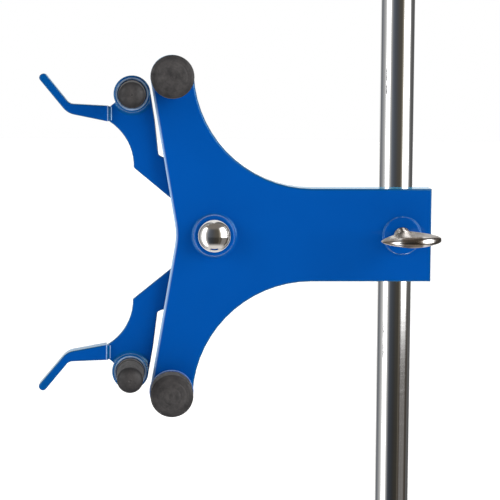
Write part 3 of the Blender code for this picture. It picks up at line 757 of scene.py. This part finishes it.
# -------------------- levers
LEVER_NEAR, LEVER_FAR = 0.0042, 0.0068
LOWER_HUB_DEPTH = 0.008         # the lower lever's hub stands behind the upper one's
HUB_RADIUS, HUB_BORE, HUB_LENGTH, HEAD_RADIUS = 0.0075, 0.0039, 0.0027, 0.0067
TAB_NEAR, TAB_FAR = 0.0027, 0.0098
HEAD_X, HEAD_Z = -0.0299, 0.0512
LOWER_LEAN = 0.7                # degrees the lower lever stands off the mirrored upper one
TAB_BEND_X = -0.0545            # beyond its bend the tab takes deeper painted shade


def lever_arm_outline():
    sweep = [(x, z, 0) for x, z in arc((-0.0485, 0.025), 0.0192, 57.5, 4)]
    right = [(0.0045, 0.005, 0), (-0.0105, 0.0282, 0.0002), (-0.0185, 0.0282, 0.0006),
             (-0.0202, 0.029, 0.001), (-0.0216, 0.0417, 0), (-0.0231, 0.0512, 0), (-0.0299, 0.053, 0),
             (-0.0377, 0.0468, 0)]
    return soften([(-0.004, 0.0034, 0)] + right + sweep + [(-0.0293, 0.0244, 0.0008)])


def tab_outline():
    return soften([(-0.0388, 0.0412, 0), (-0.0386, 0.0469, 0), (-0.0525, 0.0476, 0.003),
                   (-0.0617, 0.059, 0.00138), (-0.064, 0.0571, 0.00138), (-0.0533, 0.0441, 0.007)])


def joggle(bm, side):
    """The short ramp where the tab steps forward from the lever, with a painted highlight on both bends and
    painted shade beside them.
    """
    edge = painted_light_layer(bm)
    # (x, lower z, upper z, depth, painted shade, or painted highlight where negative)
    lines = [(-0.0358, 0.0424, 0.0452, LEVER_NEAR + 0.0001, 0.0),
             (-0.0371, 0.0417, 0.0462, LEVER_NEAR - 0.00004, 0.3),
             (-0.0374, 0.0416, 0.0464, LEVER_NEAR - 0.00012, -0.9),
             (-0.0377, 0.0415, 0.0466, LEVER_NEAR - 0.00035, 0.7),
             (-0.0384, 0.0413, 0.0468, TAB_NEAR + 0.00035, 0.7),
             (-0.0387, 0.0413, 0.0468, TAB_NEAR - 0.00002, -0.9),
             (-0.039, 0.0413, 0.0468, TAB_NEAR - 0.00008, 0.2),
             (-0.0402, 0.0415, 0.0466, TAB_NEAR + 0.0001, 0.0)]
    back = LEVER_FAR - 0.0002
    rows = []
    for x, low, high, depth, painted_light in lines:
        corners = ((depth, low), (depth, high), (back, high), (back, low))
        rows.append([bm.verts.new((x, near, side * z)) for near, z in corners])
        for vert in rows[-1]:
            vert[edge] = painted_light
    loft(bm, rows)


def flare(bm, centre, radius, rise, reach, surface, outline):
    """Fillet of a round boss on a flat face, kept inside that face's outline."""
    edge = painted_light_layer(bm)
    rings = [[] for _ in range(8)]
    for a in whole_turn(ROUND):
        way = Vector((cos(a), sin(a)))
        room = min(distance_along(centre, way, start, end)
                   for start, end in zip(outline, outline[1:] + outline[:1]))
        spread = max(0.00002, min(reach, room - radius - 0.0006))
        section = []
        for t in quarter(6):
            out = radius - 0.0001 + spread * (1 - sin(t)) if t else radius + spread
            section.append((out, surface + 0.00005 - rise * (1 - cos(t)), sin(2 * t)))
        section.append((radius - 0.0003, surface + 0.0006, sin(2 * t)))
        for ring, (out, depth, painted_light) in zip(rings, section):
            ring.append(bm.verts.new((centre[0] + way.x * out, depth, centre[1] + way.y * out)))
            # painted shade in the fillet, left out where the fillet is too narrow to show
            ring[-1][edge] = 0.55 * painted_light if spread > 0.0002 else 0.0
    for first, second in zip(rings, rings[1:] + rings[:1]):
        bridge(bm, first, second)


def distance_along(origin, way, start, end):
    """How far a ray runs before it crosses a segment, or a long way if it misses."""
    along = Vector(end) - Vector(start)
    across = way.x * along.y - way.y * along.x
    if abs(across) < 1e-12:
        return 1.0
    gap = Vector(start) - Vector(origin)
    distance = (gap.x * along.y - gap.y * along.x) / across
    share = (gap.x * way.y - gap.y * way.x) / across
    return distance if distance > 0 and 0 <= share <= 1 else 1.0


def lever_head():
    """Profile of the raised ring round a jaw pad's screw: painted shade over its front lip, a painted
    highlight round the recess's rim and painted shade inside the recess.
    """
    rim, well, behind, lip = TAB_NEAR, TAB_NEAR + 0.0007, LEVER_FAR + 0.0004, 0.0007
    back = [(0, behind), (HEAD_RADIUS - 0.0005, behind), (HEAD_RADIUS, behind - 0.0005)]
    front = [(HEAD_RADIUS - lip * (1 - cos(a)), rim + lip * (1 - sin(a)), 0.9 * abs(cos(a)) ** 0.5)
             for a in quarter(6)]
    recess = [(0.00605, rim, 0.0), (0.00592, rim + 0.00004, -0.85), (0.0056, rim + 0.0002, -1.0),
              (0.00538, rim + 0.00045, -0.7), (0.0052, well, 0.6), (0, well, 0.6)]
    return back + front + recess


def make_lever(name, side):
    def over(outline):
        return outline if side > 0 else mirrored(outline)

    bm = bmesh.new()
    slab(bm, over(lever_arm_outline()), LEVER_NEAR, LEVER_FAR, 0.0005, 0.0005)
    edge = painted_light_layer(bm)
    arm_verts = len(bm.verts)
    slab(bm, over(tab_outline()), TAB_NEAR, TAB_FAR, 0.0006, 0.0006)
    # painted shade on the tab, deeper beyond its bend
    for vert in list(bm.verts)[arm_verts:]:
        vert[edge] = max(vert[edge], 0.42 if vert.co.x < TAB_BEND_X else 0.12)
    joggle(bm, side)
    turned(bm, lever_head(), (HEAD_X, 0, side * HEAD_Z))
    flare(bm, (HEAD_X, side * HEAD_Z), HEAD_RADIUS, 0.001, 0.0019, LEVER_NEAR, over(lever_arm_outline()))
    hub_near = LEVER_NEAR if side > 0 else LOWER_HUB_DEPTH
    hub_far = hub_near + HUB_LENGTH
    hub = softened([(HUB_BORE, hub_near - 0.0001, 0), (HUB_RADIUS, hub_near - 0.0001, 0.0004),
                    (HUB_RADIUS, hub_far, 0.0004), (HUB_BORE, hub_far, 0)])
    turned(bm, hub)
    if side < 0:
        riser = [(-0.0086, 0.0076), (0.0004, 0.0112), (-0.0028, 0.0158), (-0.0131, 0.011)]
        strap = [(-0.004, 0.0034), (0.0035, 0.005)] + riser[1:] + riser[:1]
        strap_far = hub_far - 0.0001
        slab(bm, over(riser), LEVER_NEAR + 0.0002, strap_far, 0.0003, 0.0003)
        slab(bm, over(strap), LOWER_HUB_DEPTH, strap_far, 0.0004, 0.0004)
        tilt(bm, LOWER_LEAN)
    stand_for(bm, name + "_lever", PIVOT, BLUE).visible_glossy = False


# -------------------- the screw
SCREW_HALF = 0.0028             # half width of the wing screw's round hub
SCREW_TILT = -2.3
# (depth, half width, half thickness) of the hub and neck, up to where the paddle starts
SCREW_NECK = [(0.0018, SCREW_HALF, 0.0028), (-0.0014, SCREW_HALF, 0.0028), (-0.004, 0.0029, 0.0025),
              (-0.007, 0.0034, 0.0024), (-0.01, 0.0046, 0.0025), (-0.013, 0.007, 0.0025),
              (-0.0155, 0.0094, 0.0023)]
PADDLE_START, PADDLE_THICK = -0.018, 0.0021
PADDLE_PLAN, PADDLE_NOSE = 0.0112, 0.0027       # radius of its front edge in plan, and depth of its rounding


def clamped(value):
    return min(1.0, max(0.0, value))


def wing_stations(front, reach):
    """(depth, half width, half thickness) from the hub out to the paddle's front edge."""
    neck = SCREW_NECK + [(PADDLE_START, reach, PADDLE_THICK)]
    stations = []
    for i in range(len(neck) - 1):
        group = [neck[max(0, i - 1)], neck[i], neck[i + 1], neck[min(len(neck) - 1, i + 2)]]
        stations += [tuple(smooth_step(*values, k / 4) for values in zip(*group)) for k in range(4)]
    stations.append(neck[-1])
    for a in quarter(16)[1:]:
        depth = PADDLE_START + (front - PADDLE_START) * sin(a)
        wide = min(reach, math.sqrt(max(0.0, PADDLE_PLAN ** 2 - (depth - front - PADDLE_PLAN) ** 2)))
        inside = min(1.0, (depth - front) / PADDLE_NOSE)
        thick = max(0.002 * math.sqrt(1 - (1 - inside) ** 2), 0.0001)
        stations.append((depth, max(wide, 0.0004), thick))
    return stations


def make_wing_screw():
    """Thumb screw cast in one: a round hub that flattens and fans out into a paddle."""
    low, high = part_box("wing_screw")
    front, end = low.y - CLAMP.y, high.y - CLAMP.y
    bm = bmesh.new()
    edge = painted_light_layer(bm)
    rings = []
    for depth, wide, thick in wing_stations(front, (high.x - low.x) / 2):
        painted_dark = clamped((depth - front) / PADDLE_NOSE - 0.3) ** 2
        flatness = clamped(wide / thick - 1.0)
        lean = 0.0007 * clamped(-depth / 0.02)
        ring = []
        for a in whole_turn(120):
            c, s = cos(a), sin(a)
            blunt = abs(s) ** (1.0 - 0.4 * flatness if c > 0 else 1.0 + 0.2 * flatness)
            x = wide * c + lean
            ring.append(bm.verts.new((x, depth, thick * math.copysign(blunt, s))))
            # painted dark reflection, with rougher plating, over the hub, on the right-hand edge and away
            # from the nose
            dark_reflection = max((0.0042 - abs(x)) / 0.0008, (x - 0.0088) / 0.0008)
            ring[-1][edge] = max(painted_dark, clamped(dark_reflection))
        rings.append(ring)
    loft(bm, rings)
    thread_radius, point_radius = 0.003, 0.0016
    shank = [(0, 0.0015), (thread_radius, 0.0015)] + thread(thread_radius, 0.002, 0.0102, 0.001)
    shank += [(point_radius, 0.0103), (point_radius, end), (0, end)]
    turned(bm, shank, segments=64)
    tilt(bm, SCREW_TILT)
    stand_for(bm, "wing_screw", CLAMP, CHROME, 60)
    pad_low, pad_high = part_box("pressure_pad")
    near, far = pad_low.y - CLAMP.y, pad_high.y - CLAMP.y
    socket_radius, pad_radius, socket = 0.0019, 0.005, far - 0.0006
    pad = softened([(0, socket, 0), (socket_radius, socket, 0), (socket_radius, near, 0),
                    (pad_radius, near, 0.0003), (pad_radius, far, 0.0005), (0, far, 0)])
    turn_piece("pressure_pad", pad, CLAMP, NYLON, segments=64)
    turn_ring("threaded_insert", 0.0033, 0.0002, BRASS).visible_glossy = False


def smooth_step(a, b, c, d, t):
    """Catmull-Rom value between b and c."""
    bend, twist = 2 * a - 5 * b + 4 * c - d, 3 * b - a - 3 * c + d
    return 0.5 * (2 * b + (c - a) * t + bend * t * t + twist * t ** 3)


# -------------------- small screws and springs
def cut_cross(screw, place, axis, size):
    """Cross recess in a screw's head; place is the head's outer face and axis points out of it."""
    out = Vector(axis)
    across = Vector((1, 0, 0))
    other = out.cross(across)

    def tool(bm):
        rings = []
        for depth, long, wide in ((size, size, 0.24 * size), (-0.55 * size, 0.55 * size, 0.16 * size)):
            outline = []
            for u, v in ((1, 0), (0, 1), (-1, 0), (0, -1)):
                outline += [(long * u + wide * v, long * v - wide * u),
                            (long * u - wide * v, long * v + wide * u), (wide * (u - v), wide * (u + v))]
            centre = Vector(place) + out * depth
            rings.append([bm.verts.new(centre + across * u + other * v) for u, v in outline])
        loft(bm, rings)
        bmesh.ops.triangulate(bm, faces=bm.faces)

    cut_away(screw, tool, CRISP)


def wire(bm, points, radius):
    """A round wire swept along a smoothed path."""
    for _ in range(2):
        cut = [points[0]]
        for a, b in zip(points, points[1:]):
            cut += [a.lerp(b, 0.25), a.lerp(b, 0.75)]
        points = cut + [points[-1]]
    side = None
    rings = []
    for i, point in enumerate(points):
        way = (points[min(i + 1, len(points) - 1)] - points[max(i - 1, 0)]).normalized()
        side = (way.orthogonal() if side is None else side - way * side.dot(way)).normalized()
        up = way.cross(side)
        rings.append([bm.verts.new(point + (side * cos(a) + up * sin(a)) * radius) for a in whole_turn(12)])
    loft(bm, rings)


def make_spring(node, side, start_depth):
    """Torsion spring round the bush: one leg to its post on the casting, the other behind its lever."""
    coil_radius, turns, pitch, post_leg, lever_leg = 0.0047, 2, 0.0011, 0.02, 0.021
    post = Vector((SPRING_POST[0], side * SPRING_POST[1]))
    to_post = math.atan2(post.y, post.x - PIVOT_X)
    to_lever = math.atan2(side * HEAD_Z, HEAD_X) - side * radians(6)
    sweep = side * (2 * pi * turns + abs(to_lever) - abs(to_post))
    count = round(40 * abs(sweep) / (2 * pi))
    coil = []
    for i in range(count + 1):
        angle = to_post + sweep * i / count - side * pi / 2
        depth = start_depth + SPRING_WIRE + pitch * abs(sweep) / (2 * pi) * i / count
        coil.append(Vector((coil_radius * cos(angle), depth, coil_radius * sin(angle))))
    post_end = coil[0] + Vector((cos(to_post), 0, sin(to_post))) * post_leg
    lever_end = coil[-1] + Vector((cos(to_lever), 0, sin(to_lever))) * lever_leg
    points = [Vector((post_end.x, PLATE_DEPTH - 0.004, post_end.z)), post_end] + coil
    points += [lever_end, Vector((lever_end.x, LEVER_FAR + 0.0011, lever_end.z))]
    bm = bmesh.new()
    wire(bm, points, SPRING_WIRE)
    stand_for(bm, node, PIVOT, ZINC, 60)


# -------------------- bracket
def make_bracket():
    """The saddle that draws the rod against the casting, and its four screws."""
    low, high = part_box("rod_bracket")
    left, right = low.x - CLAMP.x, high.x - CLAMP.x
    half = (high.z - low.z) / 2
    channel = ROD_RADIUS + GAP
    apex = channel * math.sqrt(2)
    chamfer = channel * sin(radians(45)) / 2
    soft = 0.0006
    plan = [(left, low.y, soft), (-channel, low.y, soft), (-channel, apex - channel, 0), (0, apex, 0),
            (channel, apex - channel, 0), (channel, low.y, soft), (right, low.y, soft),
            (right, high.y - chamfer, soft), (right - chamfer, high.y, soft), (left + chamfer, high.y, soft),
            (left, high.y - chamfer, soft)]
    bm = bmesh.new()
    slab(bm, soften(plan), -half, half, 0.0008, 0.0008, flat="Z")
    bracket = stand_for(bm, "rod_bracket", (CLAMP.x, 0, CLAMP.z), BLUE)
    places = [middle(f"bracket_screw_{number}") for number in range(1, 5)]
    shank, head, pilot = 0.00105, 0.002, 0.00135

    def pilots(tool):
        for place in places:
            drill(tool, (place.x, 0, place.z), pilot, low.y - BEFORE, high.y + BEFORE, segments=32)

    cut_away(bracket, pilots)
    bracket.visible_glossy = False
    for number, place in enumerate(places, 1):
        node = f"bracket_screw_{number}"
        tip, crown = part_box(node)[0].y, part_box(node)[1].y
        seat = high.y + GAP
        profile = [(0, tip), (0.0006, tip)] + thread(shank, tip + 0.0004, seat - 0.0008, 0.0006, 0.00015)
        profile += [(shank, seat), (head, seat), (head, crown - 0.0009), (head - 0.0002, crown - 0.0004),
                    (0.0013, crown - 0.0001), (0, crown)]
        screw = turn_piece(node, profile, (place.x, 0, place.z), ZINC, segments=SMALL_ROUND)
        cut_cross(screw, (place.x, crown, place.z), (0, 1, 0), 0.0013)


# -------------------- base
BASE_THICK, BASE_CORNER = 0.009, 0.012
ROD_BOSS_RADIUS, ROD_BOSS_FLARE, ROD_BOSS_LIP = 0.017, 0.0022, 0.0014
TAIL_BORE, FOOT_BORE = 0.0051, 0.0022
FOOT_BORE_END = 0.0116


def make_base():
    low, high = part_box("base_plate")
    top = low.z + BASE_THICK
    nut_recess, nut_recess_radius = low.z + 0.0045, 0.012
    socket, socket_radius = 0.0137, ROD_RADIUS + 0.0004
    corners = [(sx * high.x, sy * high.y, BASE_CORNER) for sx, sy in ((-1, -1), (1, -1), (1, 1), (-1, 1))]
    bm = bmesh.new()
    slab(bm, soften(corners), low.z, top, 0.0008, 0.0016, flat="Z")
    base = stand_for(bm, "base_plate", (0, 0, 0), BLUE)
    screws = [middle(f"foot_screw_{number}") for number in range(1, 5)]

    def sockets(tool):
        rod_way = [(0, -BEFORE), (nut_recess_radius, -BEFORE), (nut_recess_radius, nut_recess),
                   (TAIL_BORE, nut_recess), (TAIL_BORE, socket), (socket_radius, socket),
                   (socket_radius, BEYOND), (0, BEYOND)]
        turned(tool, rod_way, ROD_FOOT, "Z")
        for place in screws:
            drill(tool, (place.x, place.y, 0), FOOT_BORE, -BEFORE, FOOT_BORE_END, "Z", SMALL_ROUND)

    def rod_boss(bm):
        bore, root = ROD_RADIUS + GAP, ROD_BOSS_RADIUS + ROD_BOSS_FLARE
        ring = [(bore, top - SINK), (root, top - SINK), (root, top)]
        # painted shade in the fillet and over the lip's rounding
        for a in quarter(6)[1:]:
            flared = ROD_BOSS_RADIUS + ROD_BOSS_FLARE * (1 - sin(a))
            ring.append((flared, top + ROD_BOSS_FLARE * (1 - cos(a)), 0.3 * sin(2 * a)))
        for a in quarter(6):
            rounded = ROD_BOSS_RADIUS - ROD_BOSS_LIP * (1 - cos(a))
            ring.append((rounded, high.z - ROD_BOSS_LIP * (1 - sin(a)), 0.5 * sin(2 * a)))
        ring += [(bore + 0.0006, high.z), (bore, high.z - 0.0006)]
        turned(bm, ring, ROD_FOOT, "Z")

    cut_away(base, sockets)
    add_to(base, rod_boss)
    turn_ring("rod_washer", TAIL_BORE, 0.0002, ZINC, "Z")
    nut_low, nut_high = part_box("rod_nut")
    bm = bmesh.new()
    nut(bm, nut_high.x - nut_low.x, nut_low.z, nut_high.z, TAIL_BORE, "Z")
    stand_for(bm, "rod_nut", ROD_FOOT, ZINC, CRISP)
    for number, place in enumerate(screws, 1):
        make_foot(number, place)


def make_foot(number, place):
    """A ribbed rubber foot with its countersunk screw."""
    low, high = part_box(f"foot_{number}")
    height, wide = high.z, (high.x - low.x) / 2
    cup, cup_end = 0.0042, 0.003
    # painted shade under the foot's edge and in the grooves between its ribs
    ribs = [(FOOT_BORE, cup_end), (cup, cup_end), (cup, 0.0004), (cup + 0.0004, 0), (wide - 0.0015, 0, 0.5),
            (wide - 0.001, 0.0005, 0.8)]
    for start in (0.0012, 0.0026, 0.004):
        swell = wide - 0.001 + 0.0009 * start / height
        ribs += [(swell, start), (swell - 0.0004, start + 0.0002, 0.8),
                 (swell - 0.0004, start + 0.0005, 0.8), (swell + 0.0001, start + 0.0007)]
    ribs += [(wide, height - 0.0006), (wide - 0.0003, height), (FOOT_BORE, height)]
    turn_piece(f"foot_{number}", ribs, (place.x, place.y, 0), RUBBER, "Z")
    node = f"foot_screw_{number}"
    face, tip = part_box(node)[0].z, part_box(node)[1].z
    shank, head, seat = 0.0019, 0.0036, 0.0027
    profile = [(0, face), (0.0026, face), (0.0032, face + 0.0003), (head, face + 0.0009), (head, seat),
               (shank, seat)]
    profile += thread(shank, 0.003, tip - 0.0003, 0.0008, 0.0002) + [(0.0012, tip), (0, tip)]
    screw = turn_piece(node, profile, (place.x, place.y, 0), ZINC, "Z", SMALL_ROUND)
    cut_cross(screw, (place.x, place.y, face), (0, 0, -1), 0.0021)


dress_cad_nodes()
make_casting()
make_base()
make_bracket()
make_spring("upper_spring", 1, 0.0118)
make_spring("lower_spring", -1, 0.0156)
make_rod()
make_pivot()
make_fixed_pads()
for jaw, jaw_side in (("upper", 1), ("lower", -1)):
    make_lever(jaw, jaw_side)
    make_jaw_pad(jaw)
make_wing_screw()


# -------------------- studio
FLOOR_REACH = 9.0


def make_floor():
    bm = bmesh.new()
    bmesh.ops.create_circle(bm, cap_ends=True, segments=96, radius=FLOOR_REACH)
    mesh = bpy.data.meshes.new("floor")
    bm.to_mesh(mesh)
    bm.free()
    floor = add_object("floor", mesh)
    look = Look("pale_floor", Roughness=0.9, Specular_IOR_Level=0.0, Emission_Color=(1, 1, 1, 1),
                Emission_Strength=0.45)
    look.vary("Base Color", (3.0, 2.0), (0.86, 0.86, 0.86), (0.88, 0.88, 0.88))
    mesh.materials.append(look.material)
    floor.visible_glossy = False


# Brightness round the object at eye level: (degrees from the front, towards +X, brightness, warmth).
STRIPS = [(-180, 1.0, 0), (-152, 1.0, 0), (-144, 0.26, 0), (-139, 0.18, -0.5), (-125, 0.26, -0.5),
          (-101, 0.55, 0), (-92, 0.88, 0), (-83, 1.4, 0), (-76, 7.0, 0), (-60, 7.0, 0), (-55, 1.5, 0),
          (-50, 0.85, 0), (-43, 0.38, 0), (-36, 0.21, -1), (-29, 0.15, -1), (-20, 0.115, -1),
          (-8, 0.095, -0.5), (5, 0.095, 0.5), (20, 0.1, 1), (27, 0.14, 1), (34, 0.5, 1), (40, 1.4, 0),
          (46, 7.0, 0), (80, 7.0, 0), (85, 1.3, 0), (94, 0.45, 0), (104, 0.15, 0), (145, 0.12, 0),
          (152, 0.5, 0), (160, 1.0, 0), (180, 1.0, 0)]
BRIGHTEST = 7.0


def make_world():
    """Soft boxes left and right, a dark room in front and a white backdrop behind, all in the distance."""
    world = bpy.data.worlds.new("studio")
    world.use_nodes = True
    nodes = Nodes(world.node_tree)
    nodes.tree.nodes.clear()
    node, link, maths = nodes.node, nodes.link, nodes.maths

    def between(angle, start, end, low=0.0, high=1.0):
        """Goes smoothly from low to high while an angle passes from start to end, both in degrees."""
        made = node("ShaderNodeMapRange", interpolation_type="SMOOTHSTEP")
        link(angle, made.inputs["Value"])
        for socket, value in zip(("From Min", "From Max"), (start, end)):
            made.inputs[socket].default_value = radians(value)
        made.inputs["To Min"].default_value, made.inputs["To Max"].default_value = low, high
        return made.outputs["Result"]

    split = node("ShaderNodeSeparateXYZ")
    link(node("ShaderNodeTexCoord").outputs["Generated"], split.inputs[0])
    x, y, z = split.outputs
    round_angle = maths("ARCTAN2", x, maths("MULTIPLY", y, -1.0))
    share = maths("MULTIPLY_ADD", round_angle, 0.5 / pi, 0.5)
    strips = node("ShaderNodeValToRGB")
    elements = strips.color_ramp.elements
    while len(elements) > 1:
        elements.remove(elements[-1])
    for i, (angle, light, warmth) in enumerate(STRIPS):
        place = (angle + 180) / 360
        element = elements[0] if i == 0 else elements.new(place)
        element.position = place
        level = light / BRIGHTEST
        element.color = (level * (1 + 0.11 * warmth), level, level * (1 - 0.19 * warmth), 1)
    link(share, strips.inputs["Fac"])
    eye_level = node("ShaderNodeVectorMath", operation="SCALE", Scale=BRIGHTEST)
    link(strips.outputs["Color"], eye_level.inputs[0])

    height = maths("ARCSINE", z)
    from_front = maths("ABSOLUTE", round_angle)
    above = maths("MULTIPLY", between(height, 30, 50), between(from_front, 85, 115, 1.0, 0.0))
    below = between(height, -62, -38, 1.0, 0.0)
    low_front = maths("MULTIPLY", between(height, -13, -1, 0.5, 0.0), between(from_front, 32, 44, 1.0, 0.0))
    on_right = maths("MULTIPLY", between(round_angle, 28, 36), between(round_angle, 100, 108, 1.0, 0.0))
    under_right = maths("MULTIPLY", between(height, -9.5, -4.5, 0.96, 0.0), on_right)
    kept = maths("MULTIPLY", maths("SUBTRACT", 1.0, low_front), maths("SUBTRACT", 1.0, under_right))
    dimmed = node("ShaderNodeVectorMath", operation="SCALE")
    link(eye_level.outputs[0], dimmed.inputs[0])
    link(kept, dimmed.inputs["Scale"])

    room = nodes.blend(maths("MULTIPLY", under_right, 0.4), dimmed.outputs[0], (0.2, 0.165, 0.135))
    room = nodes.blend(above, room, (0.22, 0.2, 0.18))
    room = nodes.blend(below, room, (0.85, 0.82, 0.8))

    # the camera sees plain white where only the room would be
    chooser = node("ShaderNodeMixShader")
    link(node("ShaderNodeLightPath").outputs["Is Camera Ray"], chooser.inputs[0])
    lighting = node("ShaderNodeBackground")
    link(room, lighting.inputs["Color"])
    link(lighting.outputs[0], chooser.inputs[1])
    link(node("ShaderNodeBackground", Color=(1, 1, 1, 1)).outputs[0], chooser.inputs[2])
    link(chooser.outputs[0], node("ShaderNodeOutputWorld").inputs["Surface"])
    bpy.context.scene.world = world


CAMERA_FROM_CLAMP = Vector((-0.09561, -0.68981, 0.06603))
CAMERA_YAW, CAMERA_PITCH, CAMERA_ROLL = (radians(degrees) for degrees in (3.3, 5.9, 0.37))
LENS_MM, SENSOR_MM = 136.8, 36.0


def make_camera():
    """Just left of the jaws' pivot, a little above the clamp, with a long lens."""
    camera = bpy.data.cameras.new("camera")
    camera.sensor_width, camera.lens = SENSOR_MM, LENS_MM
    level = cos(CAMERA_PITCH)
    ahead = Vector((sin(CAMERA_YAW) * level, cos(CAMERA_YAW) * level, -sin(CAMERA_PITCH)))
    right = Vector((cos(CAMERA_YAW), -sin(CAMERA_YAW), 0))
    up = right.cross(ahead)
    side = right * cos(CAMERA_ROLL) + up * sin(CAMERA_ROLL)
    top = up * cos(CAMERA_ROLL) - right * sin(CAMERA_ROLL)
    obj = add_object("camera", camera)
    obj.matrix_world = Matrix((side, top, -ahead)).transposed().to_4x4()
    obj.location = CLAMP + CAMERA_FROM_CLAMP
    bpy.context.scene.camera = obj


make_floor()
make_world()
make_camera()
bpy.context.scene.view_settings.view_transform = "Standard"
